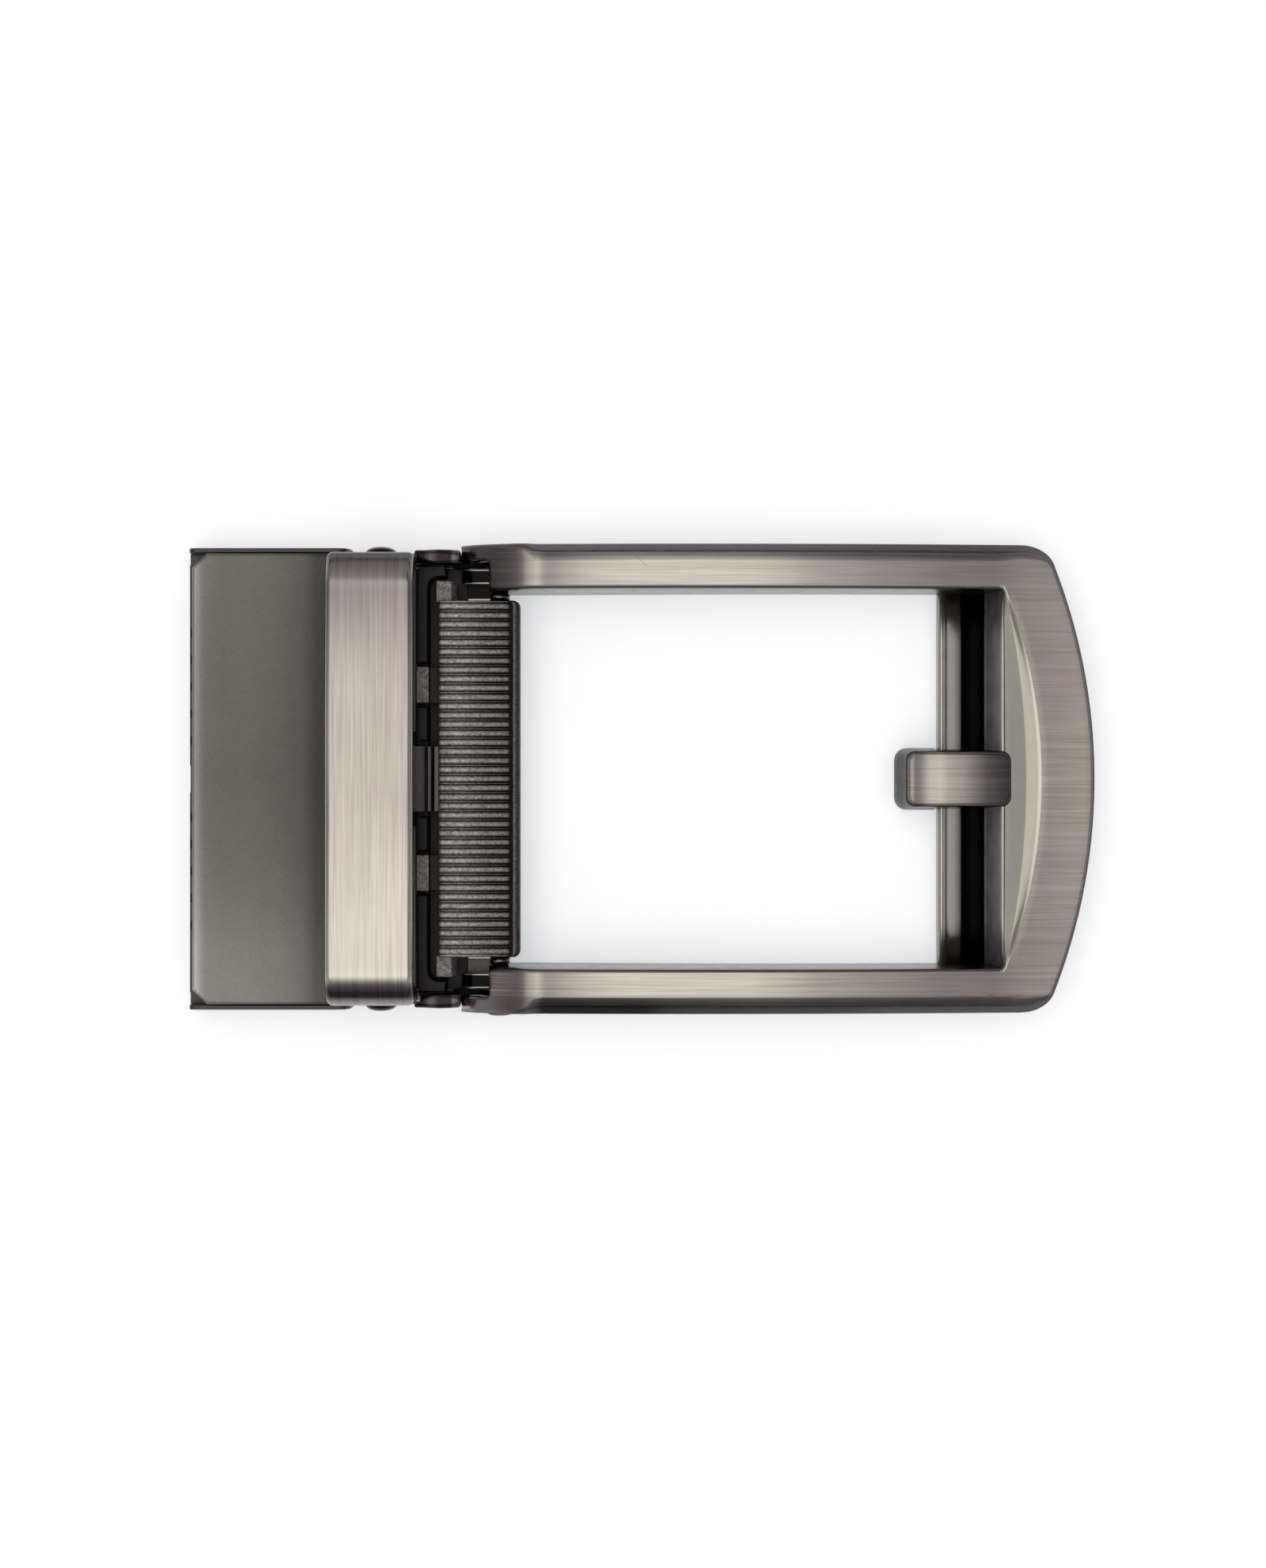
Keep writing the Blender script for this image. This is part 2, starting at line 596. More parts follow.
def frame_section(inner, outer):
    """One closed section between two plan points, as (x, y, z), from the inner wall over the front."""
    span = math.dist(inner, outer)
    ex, ey = (outer[0] - inner[0]) / span, (outer[1] - inner[1]) / span

    def at(s, below=0.0, z=None):
        """Point at a distance s from the inner wall, below the front or at a height z."""
        x, y = inner[0] + ex * s, inner[1] + ey * s
        return (x, y, front_z(x) - below if z is None else z)

    x_in, x_out = inner[0], outer[0]
    blend = smooth_step(16.4 - inner[1], 0.0, 2.2) if x_in > WINDOW_END - 0.3 else 0.0
    ridge = max(0.3, ridge_x(inner[1]) - x_in) if x_in > WINDOW_END - 0.36 and ey < 0.9 else 0.3
    depth = 0.3 + (CRESCENT_DEPTH - 0.3) * smooth_step(ridge, 0.3, 1.2)
    if x_in < -8.8:
        width = 0.3 + (BEVEL - 0.3) * smooth_step(x_in, -10.6, -8.8)
        drop = width * (0.95 if width > 0.5 else 1.0)
    else:
        turn = smooth_step(outer[1], 18.5, FRAME_HALF)
        width = drop = END_EDGE + (BEVEL - END_EDGE) * turn ** 1.5
    low = back_z(x_in)
    low_out = back_z(x_out)
    height_in = front_z(x_in) - low
    foot = min(0.3, height_in * 0.3)
    points = [at(0.12, z=low), at(-DRAFT * 0.75, z=low + foot * 0.3), at(-DRAFT, z=low + foot)]
    points.append(at(-DRAFT * 0.3, depth + min(0.5, height_in * 0.2)))
    points.append(at(0.0, depth + 0.06))
    for k in range(CRESCENT_COLUMNS):
        t = (k + 1) / (CRESCENT_COLUMNS + 1)
        convex = math.sqrt(max(0.0, 1 - (1 - t) ** 2))
        facet = 0.25 * t / 0.6
        fillet = 0.25 + 0.75 * ((t - 0.6) / 0.4) ** 1.4 if t > 0.6 else facet
        rise = convex * (1 - blend) + fillet * blend
        points.append(at(ridge * t, depth * (1 - rise)))
    points.append(at(ridge * 0.985, 0.02 * blend))
    flat = span - width - ridge
    points += [at(ridge + 0.05 + (flat - 0.1) * k / FRONT_COLUMNS) for k in range(FRONT_COLUMNS + 1)]
    start = span - width
    points += [at(start + width * t, drop * bevel_drop(t)) for t in (0.1, 0.2, 0.32, 0.45, 0.6, 0.8, 0.93)]
    points.append(at(span - width * 0.01, drop * bevel_drop(0.99)))
    points.append(at(span, drop + min(0.12, height_in * 0.08)))
    wall_top = front_z(x_out) - drop
    points.append(at(span, z=low_out + (wall_top - low_out) * 0.5))
    points.append(at(span, z=low_out + min(0.35, (wall_top - low_out) * 0.25)))
    points.append(at(span - 0.1, z=low_out + 0.08))
    points.append(at(span - 0.4, z=low_out))
    return points + [at(span * t, z=back_z(inner[0] + ex * span * t)) for t in (0.75, 0.5, 0.25)]


FRAME_METALS = [FRAME_METAL, BEVEL_METAL, BRIGHT_METAL, CRESCENT_METAL, RIDGE_METAL, TINE_METAL, INNER_METAL,
                EDGE_METAL, BEVEL_FACE]
FRONT, OUTSIDE, INSIDE, FILLET, RIDGE, FORK, WINDOW, EDGE, FACE = range(len(FRAME_METALS))
WALL_STRIPS, EDGE_STRIPS, BEVEL_STRIPS = 5, 4, 5   # inner wall, first curve of the bevel, its face
FRONT_FIRST = WALL_STRIPS + CRESCENT_COLUMNS
BEVEL_FIRST = FRONT_FIRST + 1 + FRONT_COLUMNS + EDGE_STRIPS


def frame_strip(index):
    """Material of a strip of the frame's skin."""
    if index < WALL_STRIPS + round(CRESCENT_COLUMNS * 0.55):
        return INSIDE
    if index < FRONT_FIRST - 1:
        return FILLET
    if index == FRONT_FIRST - 1:
        return RIDGE
    if index < BEVEL_FIRST:
        return FRONT if index < BEVEL_FIRST - EDGE_STRIPS else EDGE
    return FACE if index < BEVEL_FIRST + BEVEL_STRIPS else OUTSIDE


def frame_skin():
    """The frame before its forks are cut: one half, and its mirror image."""
    half = [frame_section(inner, outer) for inner, outer in frame_stations()]
    other = [[(x, -y, z) for x, y, z in ring] for ring in reversed(half[:-1])]
    return loft("buckle_frame_skin", half + other, FRAME_METALS, frame_strip)


SLOT_IN, SLOT_OUT = 18.5, 19.12   # faces of the fork's slot
PIN_BORE = 0.8


def fork_cutter(side):
    """What the fork leaves free for the cheek and, round the pin, for its eye."""
    slot = [(NOSE - 1, -1), (ROOF_END, -1), (ROOF_END, 9), (NOSE - 1, 9)]
    low, high = across(side, SLOT_IN, SLOT_OUT)
    eye = prism("eye_cut", circle(PIN_X, PIN_Z, 1.9, 40), "y", low, high, BRIGHT_METAL)
    return combine(prism("fork_cut", slot, "y", low, high, BRIGHT_METAL), eye)


def corner_cutter(side):
    """Rounds the corner of the arm's front beside the lever."""
    radius = 0.95
    left, right = ROOF_END - 0.2, ROOF_END + radius
    arc = arc_points(right, INNER - DRAFT + radius, radius, 270, 180, 8)
    half = [(left, INNER - 0.6), (right, INNER - 0.6)] + arc + [(left, arc[-1][1])]
    return prism("corner_cut", [(x, side * y) for x, y in half], "z", 4.5, 9, BRIGHT_METAL)


def tine_cutter(side):
    """Clears the inner half of the fork, where a finished tine is set."""
    return block("tine_cut", (NOSE - 1, ROOF_END), across(side, 16.0, 18.6), (-1, 9), BRIGHT_METAL)


def inner_tine(side):
    """Inner half of the fork, a black polished nose with bright worn edges, and the step beside it."""
    root = ROOF_END + 0.3
    outline = [(root, 0.35), (root, 4.75), (-14.6, 4.6), (-15.2, 4.25), (-15.6, 3.6), (NOSE, 3.1)]
    outline += [(-15.5, 2.2), (-15.1, 1.4), (-14.5, 0.75), (-13.8, 0.42)]
    tine = prism(named("inner_tine", side), outline, "y", *across(side, 17.05, 18.45), TINE_METAL)
    tine.data.materials.append(RIDGE_METAL)
    metal = TINE_METAL if side > 0 else FLAP_STEEL
    step = block(named("tine_step", side), (-15.2, root), across(side, 15.95, 17.1), (1.3, 2.6), metal)
    for piece in (tine, step):
        cut(piece, bore(PIN_X, PIN_Z, PIN_BORE, TINE_METAL))
    rounded(tine, 0.18, 3, 40)
    tine.modifiers["Bevel"].material = 1
    return tine, rounded(step, 0.05, 2)


CROSSBAR_METALS = [BRIGHT_METAL, COVE_METAL, WALL_METAL, RIDGE_METAL]
BAR_FACE, COVE, STEEP_WALL, BEAD = range(len(CROSSBAR_METALS))


def crossbar_strip(index):
    """Material of a strip of the crossbar."""
    if 6 <= index < 10:
        return STEEP_WALL
    if 10 <= index < 24:
        return COVE
    return BEAD if 2 <= index < 6 or 29 <= index < 33 else BAR_FACE


def crossbar():
    """Low bar behind the prong: flat face, cove, then a steep wall up to the end of the frame."""
    outline = [(26.62, 0.32), (32.4, 0.32), (32.4, 4.9), (31.95, 5.16), (31.86, 5.2), (31.76, 5.16)]
    outline += [(31.7, 5.04), (31.5, 4.3), (31.1, 3.1), (30.72, 2.05)]
    outline += arc_points(29.6, 2.75, 1.3, 322, 220, 14)
    outline += [(28.55, 2.12), (28.42, 2.18), (27.6, 2.24), (27.1, 2.2), (27.02, 2.06), (26.95, 2.16)]
    outline += [(26.86, 2.23), (26.76, 2.23), (26.66, 2.16), (26.58, 1.9), (26.52, 1.5), (26.5, 0.5)]
    half = INNER + 0.18
    rows = [[(x, y, z) for x, z in outline] for y in (-half, -12, -6, 0, 6, 12, half)]
    return loft("crossbar", rows, CROSSBAR_METALS, crossbar_strip)


def frame_casting():
    """The frame's skin with its forks cut out; the forks and the window get their own metals."""
    casting = frame_skin()
    for side in (1, -1):
        cut(casting, fork_cutter(side), tine_cutter(side), corner_cutter(side))
    cut(casting, bore(PIN_X, PIN_Z, PIN_BORE, BRIGHT_METAL, 30))
    window = {FILLET: OUTSIDE, RIDGE: OUTSIDE, INSIDE: WINDOW}
    for polygon in casting.data.polygons:
        x = polygon.center.x / MM
        if x < ROOF_END - 0.02 and polygon.normal.z < 0.2 or abs(x - ROOF_END) < 0.02:
            polygon.material_index = FORK
        elif x < WINDOW_END - 0.6:
            polygon.material_index = window.get(polygon.material_index, polygon.material_index)
    casting.name = "frame_casting"
    return casting


place(frame_casting(), "frame", "brushed_frame", "buckle_frame")
for side in (1, -1):
    for tine_part in inner_tine(side):
        place(tine_part, "frame", "brushed_frame")
place(crossbar(), "frame", "brushed_frame")


# --- False prong
def rounded_rectangle(x0, x1, y0, y1, radius, side_steps=1):
    """Outline with round corners, anticlockwise from the lower right corner, its long sides in side_steps."""
    left, right, steps = x0 + radius, x1 - radius, 6
    between = [left + (right - left) * k / side_steps for k in range(1, side_steps)]
    points = arc_points(right, y0 + radius, radius, -90, 0, steps)
    points += arc_points(right, y1 - radius, radius, 0, 90, steps)
    points += [(x, y1) for x in reversed(between)]
    points += arc_points(left, y1 - radius, radius, 90, 180, steps)
    points += arc_points(left, y0 + radius, radius, 180, 270, steps)
    return points + [(x, y0) for x in between]


def prong_top(x):
    """Crown of the prong: nearly flat at its tip, falling towards the end of the frame."""
    return PRONG_HI[2] - 0.019 * max(0.0, x - 25.3) ** 2 - 0.03 * max(0.0, 25.3 - x) ** 2


def prong_ring(x0, x1, half, radius, height):
    """A ring of the prong's skin; height gives z from x."""
    return [(x, y, height(x)) for x, y in rounded_rectangle(x0, x1, -half, half, radius, side_steps=14)]


def false_prong():
    """Block with flared walls, a rolled rim and a crowned face; the crossbar's room is cut from below."""
    left, right, foot = PRONG_LO[0], PRONG_HI[0] - 0.03, PRONG_LO[2]
    base_half, top_half, wall, rim = PRONG_HI[1], 2.45, 4.6, 0.42
    rings = [prong_ring(left + base_half, right + 0.03 - base_half, 0, 0, lambda x: foot)]
    for t in (0.0, 0.25, 0.5, 0.75, 1.0):
        half = base_half + (top_half - base_half) * t
        rings.append(prong_ring(left + 0.55 * t, right, half, 1.1 - 0.3 * t, lambda x: foot + t * wall))
    for step in range(1, 7):
        angle = math.radians(15 * step)
        roll, drop = rim * (1 - math.cos(angle)), rim * (1 - math.sin(angle))
        rings.append(prong_ring(left + 0.56 + roll * 1.3, right - roll, top_half - roll, 0.82 - roll * 0.4,
                                lambda x: prong_top(x) - drop))
    for inner in (0.46, 0.75, 1.15, 1.6, 2.0, 2.3, top_half):
        radius = max(0.06, 1.07 - inner) if inner < top_half else 0
        rings.append(prong_ring(left + 0.7 + inner, right - inner, top_half - inner, radius, prong_top))
    prong = loft("prong", rings, [PRONG_METAL, SIDE_METAL], caps=False)
    for polygon in prong.data.polygons:
        polygon.material_index = 1 if polygon.normal.z < 0.6 else 0
    room = [(26.25, -1), (40, -1), (40, 4.8), (31.25, 4.7), (30.6, 2.5), (26.25, 2.5)]
    return cut(prong, prism("prong_room", room, "y", -5, 5, SIDE_METAL))


place(false_prong(), "frame", "brushed_frame", "false_prong")


# --- Keeper loop
LOOP_WALL = 1.3
LOOP_CORNER = 2.6


def loop_end(half, top):
    """End bend of the arch: a soft crease, then a curve down to the vertical wall."""
    crease = math.radians(25)
    reach = LOOP_CORNER / (1 - math.sin(crease))
    drop = LOOP_CORNER / math.cos(crease)
    points = [(half - LOOP_CORNER - 0.16, top - 0.004)]
    for k in range(15):
        angle = crease + (math.pi / 2 - crease) * k / 14
        points.append((half - LOOP_CORNER + reach * (math.sin(angle) - math.sin(crease)),
                       top - 0.02 - drop * (math.cos(crease) - math.cos(angle)) * 0.99))
    return points


def loop_path():
    """Outer surface of the arch as (y, z, normal y, normal z), from one foot over the top to the other."""
    half, top = LOOP_HI[1], LOOP_HI[2]
    points = [(-half, LOOP_LO[2]), (-half, LOOP_LO[2] + 1.2), (-half, top - LOOP_CORNER)]
    points += [(-y, z) for y, z in reversed(loop_end(half, top))][1:]
    span = half - LOOP_CORNER
    points += [(-span + 2 * span * k / 24, top) for k in range(1, 24)]
    points += loop_end(half, top)
    points += [(half, LOOP_LO[2] + 1.2), (half, LOOP_LO[2])]
    sagged = [(y, z - 0.28 * smooth_step(y, 3.0, 17.5) * smooth_step(z, 9.0, top)) for y, z in points]
    path = []
    for k, (y, z) in enumerate(sagged):
        before, after = sagged[max(0, k - 1)], sagged[min(len(sagged) - 1, k + 1)]
        along = Vector((after[0] - before[0], after[1] - before[1])).normalized()
        path.append((y, z, -along[1], along[0]))
    return path


def keeper_loop():
    """The arch, with rounded outer edges and small chamfers on its inner ones."""
    left, right, edge, chamfer = LOOP_LO[0], LOOP_HI[0], 0.55, 0.15
    section = [(left + chamfer, -LOOP_WALL), (right - chamfer, -LOOP_WALL), (right, chamfer - LOOP_WALL)]
    section += arc_points(right - edge, -edge, edge, 0, 90, 7)
    section += [(right + (left - right) * t, 0.0) for t in (0.2, 0.4, 0.6, 0.8)]
    section += arc_points(left + edge, -edge, edge, 90, 180, 7)
    section += [(left, chamfer - LOOP_WALL)]
    rings = [[(x, y + ny * v, z + nz * v) for x, v in section] for y, z, ny, nz in loop_path()]
    return loft("loop_strap", rings, [LOOP_METAL])


def braze(name, centre, size, turns):
    """A small irregular bead of filler at the foot of the loop."""
    rings = []
    for k in range(1, 8):
        polar = math.pi * k / 8
        ring = []
        for j in range(14):
            angle = 2 * math.pi * j / 14
            swell = 1 + 0.16 * math.sin(turns * angle + k) + 0.1 * math.cos(2.7 * angle - k)
            radius = math.sin(polar) * swell
            ring.append((centre[0] + size[0] * radius * math.cos(angle),
                         centre[1] - size[1] * math.cos(polar),
                         centre[2] + size[2] * radius * math.sin(angle)))
        rings.append(ring)
    return loft(name, rings, [LOOP_METAL])


place(keeper_loop(), "body", "brushed_loop", "keeper_loop")
for bead in (("braze_upper", (LOOP_LO[0], 18.1, 5.95), (0.3, 1.3, 0.42), 3),
             ("braze_lower", (LOOP_LO[0], -18.5, 5.95), (0.26, 1.0, 0.36), 2),
             ("braze_corner", (LOOP_HI[0] + 0.1, -18.95, 6.0), (0.3, 0.55, 0.5), 4)):
    place(braze(*bead), "body", "brushed_loop")


# --- Body plate and its cheeks
PLATE_CLIP = 1.25
NOTCH_HALF = 4.08
NOTCH_LEFT = -22.4
PLATE_BOTTOM = PLATE_HI[2] - 1.0
PLATE_HALF = 19.7
CHEEK_IN, CHEEK_OUT = 18.8, 19.4
BULGE_OUT = PLATE_HI[1]


def shrunk(outline, distance):
    """Moves every side of an anticlockwise outline inwards, keeping its corners sharp."""
    points = []
    for k, point in enumerate(outline):
        here = Vector(point)
        before = (here - Vector(outline[k - 1])).normalized()
        after = (Vector(outline[(k + 1) % len(outline)]) - here).normalized()
        mitre = Vector((-before[1] - after[1], before[0] + after[0])) / (1 + before.dot(after))
        points.append(tuple(here + mitre * distance))
    return points


def plate_sheet():
    """Front plate with clipped corners, a rolled rim and the notch for the tooth."""
    left, right, inner = PLATE_LO[0], -19.5, PLATE_HALF - PLATE_CLIP
    lower = [(left, -inner), (left + PLATE_CLIP, -PLATE_HALF), (right, -PLATE_HALF), (right, -NOTCH_HALF),
             (NOTCH_LEFT, -NOTCH_HALF)]
    outline = lower + [(x, -y) for x, y in reversed(lower)]
    top, bottom = PLATE_HI[2], PLATE_BOTTOM
    rim = [(0.3, bottom), (0.08, bottom + 0.04), (0.0, bottom + 0.16), (0.0, top - 0.2), (0.02, top - 0.12),
           (0.07, top - 0.05), (0.14, top - 0.02), (0.24, top - 0.005), (0.4, top)]
    rings = [[(x, y, z) for x, y in shrunk(outline, distance)] for distance, z in rim]
    return loft("plate_sheet", rings, [PLATE_METAL])


def cheek(side):
    """Side of the pressed sheet: deep under the loop, then narrower up to the hinge eye."""
    outline = [(-25.2, PLATE_BOTTOM + 0.3), (-25.2, 3.2), (-23.6, PLATE_LO[2]), (-19.8, PLATE_LO[2])]
    outline += [(-16.1, 1.6), (-15.95, PIN_Z - 1.3), (-15.95, PIN_Z + 0.25), (-16.1, 4.6), (-17.2, 4.85)]
    outline += [(-19.6, 4.85), (-19.6, PLATE_BOTTOM + 0.3)]
    sheet = prism(named("cheek", side), outline, "y", *across(side, CHEEK_IN, CHEEK_OUT), CHEEK_METAL)
    return rounded(cut(sheet, bore(RIVET_X, RIVET_Z, 1.1, CHEEK_METAL)), 0.12, 3)


def cheek_bulge(side):
    """Where the sheet is folded over: a polished roll between the loop and the frame's nose."""
    left, right, far = -19.75, -15.74, BULGE_OUT - 0.06
    insets = [(left, 0.14), (left + 0.05, 0.05), (left + 0.16, 0.0), (-18.9, 0.0), (-18.4, -0.04)]
    insets += [(-17.6, -0.06), (-16.6, -0.04), (right - 0.16, 0.0), (right - 0.05, 0.05), (right, 0.14)]
    rings = []
    for x, inset in insets:
        outline = rounded_rectangle(CHEEK_IN + inset, far - inset, 2.2 + inset, 5.3 - inset, 0.55)
        rings.append([(x, side * y, z) for y, z in outline])
    return loft(named("cheek_bulge", side), rings, [CHEEK_METAL])


def cheek_foot(side):
    """Low end of the fold, under the nose of the frame and clear of its swing."""
    y = across(side, CHEEK_IN, BULGE_OUT - 0.2)
    return rounded(block(named("cheek_foot", side), (-17.6, -15.15), y, (0.5, 1.15), COVE_METAL), 0.1, 3)


def cheek_eye(side):
    """Hinge eye of the cheek, which fills the fork's slot and carries the pin."""
    gap = 0.06
    outline = [(-16.4, PIN_Z - 1.25)] + arc_points(PIN_X, PIN_Z, 1.6, -128, 171, 30) + [(-16.4, PIN_Z + 0.25)]
    y = across(side, SLOT_IN + gap, SLOT_OUT - gap)
    eye = prism(named("cheek_eye", side), outline, "y", *y, COVE_METAL)
    return rounded(cut(eye, bore(PIN_X, PIN_Z, PIN_BORE, COVE_METAL)), 0.06, 2)


place(plate_sheet(), "body", "satin_plate", "body_plate")
for side in (1, -1):
    place(cheek(side), "body", "satin_plate", "body_plate")
    for build in (cheek_bulge, cheek_foot, cheek_eye):
        place(build(side), "body", "satin_plate")


# --- Ratchet lever
RIB_PITCH = 0.795
LEVER_HALF = 15.64
LEVER_RIGHT = LEVER_HI[0]
LEVER_LEFT = -17.6
LEVER_UNDER = 4.3
RIB_PROFILE = [
    (-0.27, -0.3), (-0.24, -0.06), (-0.18, 0.0), (0.0, 0.015), (0.18, 0.0), (0.24, -0.06), (0.27, -0.3),
    (0.32, -0.3), (0.35, -0.12), (0.39, -0.09), (0.43, -0.12), (0.46, -0.3)]
SPINE_PROFILE = [
    (0.0, -0.24), (0.04, -0.12), (0.12, -0.05), (0.3, -0.03), (1.0, 0.0), (2.0, 0.0), (3.0, -0.04),
    (4.2, -0.1), (5.4, -0.17), (6.0, -0.21), (6.16, -0.23), (6.24, -0.28), (6.3, -0.4), (6.38, -0.4),
    (6.44, -0.24), (6.54, -0.16), (6.68, -0.14), (6.82, -0.18), (6.96, -0.29), (7.06, -0.44), (7.12, -0.6),
    (7.14, -0.79)]
RIBBED_FROM, RIBBED_TO = 0.04, 6.24
TOOTH_SLOT = 3.17                 # half of the tooth's slot in the lever
TAB_IN, TAB_OUT = 6.7, 9.87


def rib_stations():
    """Pairs of y and rib height across the lever, with round ends."""
    stations = []
    count = 39
    for k in range(count):
        centre = (k - (count - 1) / 2) * RIB_PITCH
        stations += [(centre + offset, height) for offset, height in RIB_PROFILE]
    limit = LEVER_HALF - 0.2
    stations = [(y, height) for y, height in stations if abs(y) < limit]
    ends = [(LEVER_HALF - back, h) for back, h in ((0.16, -0.03), (0.06, -0.12), (0.015, -0.22), (0.0, -0.4))]
    return [(-y, h) for y, h in reversed(ends)] + stations + ends


def lever_ring(y, rib):
    """Section of the lever across x and z at one y."""
    corner = 0.6
    over = max(0.0, abs(y) - (LEVER_HALF - corner))
    pull = corner - math.sqrt(max(0.0, corner ** 2 - over ** 2))
    ring = []
    for along, height in SPINE_PROFILE:
        ribbed = RIBBED_FROM <= along <= RIBBED_TO
        z = LEVER_HI[2] + height + (rib if ribbed else min(0.0, rib) * (1.0 if over > corner - 0.2 else 0.0))
        x = LEVER_LEFT + along * (LEVER_RIGHT - LEVER_LEFT) / SPINE_PROFILE[-1][0]
        if x > LEVER_RIGHT - 1.2:
            x -= pull * (x - LEVER_RIGHT + 1.2) / 1.2
        ring.append((x, y, z))
    knuckle = arc_points(PIN_X, PIN_Z, 1.84, 20, -150.6, 12)
    under = knuckle + [(PIN_X - 2.4, LEVER_UNDER), (LEVER_LEFT + 1.2, LEVER_UNDER), (LEVER_LEFT + 1.2, 2.95)]
    under += [(LEVER_LEFT + 1.1, 2.9), (LEVER_LEFT + 0.1, 2.9), (LEVER_LEFT, 3.0), (LEVER_LEFT, 4.6)]
    return ring + [(min(x, LEVER_RIGHT - pull), y, z) for x, z in under]


def ratchet_lever():
    """Ribbed roof over the strap, with pockets for the springs, a slot for the tooth and the pin's bore."""
    lever = loft("lever_roof", [lever_ring(y, rib) for y, rib in rib_stations()], [RIB_METAL])
    pocket = (PIN_X - 2.3, LEVER_RIGHT - 0.35)
    cutters = [block("pocket", pocket, across(side, 4.6, 8.6), (0, 4.9), CAST_METAL) for side in (1, -1)]
    slot = (LEVER_LEFT - 1, -14.4)
    cutters.append(block("tooth_slot", slot, (-TOOTH_SLOT, TOOTH_SLOT), (2, 5.1), CAST_METAL))
    return cut(lever, *cutters, bore(PIN_X, PIN_Z, PIN_BORE, CAST_METAL, 30))


def lever_tab(side):
    """Stop tab under the loop: cast, with a blackened root."""
    outline = [(-17.3, 2.9), (-17.3, 3.3), (-18.5, 3.3), (-18.5, 4.2), (-20.2, 4.2), (-20.2, 2.9)]
    tab = prism(named("lever_tab", side), outline, "y", *across(side, TAB_IN, TAB_OUT), CAST_METAL)
    tab.data.materials.append(DARK_STEEL)
    for polygon in tab.data.polygons:
        polygon.material_index = 1 if polygon.center.x > -18.45 * MM else 0
    return rounded(tab, 0.07, 2)


def lever_ear(side):
    """Grey lug at the end of the lever, beside the fork."""
    outline = [(-17.9, 2.9), (-16.1, 2.9), (-16.1, 3.75), (-16.55, 4.2), (-17.9, 4.2)]
    ear = prism(named("lever_ear", side), outline, "y", *across(side, 15.5, 17.45), CAST_METAL)
    return rounded(ear, 0.1, 3)


def ratchet_tooth():
    """Flat pawl: stepped neck under the ribs, then a sharp raised tip under the loop."""
    outline = [(-14.7, 4.35), (-14.7, 4.9), (-18.0, 4.9), (-18.12, 5.12), (-18.25, 5.3), (-18.5, 5.36),
               (-18.62, 5.3), (-18.7, 5.14), (-18.8, 5.3), (-19.0, 5.42), (-19.4, 5.52), (-19.9, 5.75),
               (-20.4, 6.1), (-20.9, 6.55), (-21.15, 6.57), (-21.3, 6.4), (-21.4, 4.75), (-21.1, 4.35)]
    tooth = prism("pawl", outline, "y", TOOTH_LO[1], TOOTH_HI[1], TOOTH_STEEL)
    return rounded(tooth, 0.06, 2, 25)


place(ratchet_lever(), "lever", "cast_grey", "ratchet_lever")
for side in (1, -1):
    place(lever_tab(side), "lever", "cast_grey")
    place(lever_ear(side), "lever", "cast_grey")
place(ratchet_tooth(), "lever", "dark_steel", "ratchet_tooth")


# --- Lever housing
HOUSING_WALL = 0.83
HEAD_END = -17.1
FLOOR_END = -15.25                # clear of the circle that the frame's nose sweeps
TONGUE_HALF = 15.3
EAR_IN, EAR_OUT = 17.7, 18.5      # hinge ears of the clamp flap
FLOOR_TOP = 0.9


def lever_housing():
    """Shallow tray behind the lever with a tall left wall and round inner corners."""
    low, high = HOUSING_LO, HOUSING_HI
    wall_x = low[0] + HOUSING_WALL
    inner_half = high[1] - 0.6
    outer_half = CHEEK_IN - 0.02
    corner = 1.0
    outline = [(low[0], -outer_half), (HEAD_END, -outer_half), (HEAD_END, -inner_half)]
    outline += arc_points(wall_x + corner, corner - inner_half, corner, 270, 180, 6)
    outline += arc_points(wall_x + corner, inner_half - corner, corner, 180, 90, 6)
    outline += [(HEAD_END, inner_half), (HEAD_END, outer_half), (low[0], outer_half)]
    tray = prism("housing_tray", outline, "z", low[2], high[2], DARK_STEEL)
    floor = [(low[0] - 0.9, -outer_half), (FLOOR_END, -outer_half), (FLOOR_END, -TONGUE_HALF)]
    floor += [(high[0], -TONGUE_HALF)]
    floor += [(x, -y) for x, y in reversed(floor)]
    combine(tray, prism("tray_floor", floor, "z", low[2], FLOOR_TOP, DARK_STEEL))
    wall, gap = (low[0] - 1, wall_x + 0.1), 0.4
    paths = [block("tab_path", wall, across(side, TAB_IN - gap, TAB_OUT + gap), (1.4, 5), DARK_STEEL)
             for side in (1, -1)]
    paths.append(block("tooth_path", wall, (-3.4, 3.4), (2.4, 5), DARK_STEEL))
    return rounded(cut(tray, *paths), 0.1, 3)


place(lever_housing(), "body", "dark_steel", "lever_housing")


# --- Clamp flap, its rivets and set screws
FLAP_THICK = 0.8
FLAP_WIDE_END = -25.5
SCREW_X, SCREW_Y, SCREW_R = -33.0, 11.0, 1.25
FLAP_TOOTH_TOP = 1.7


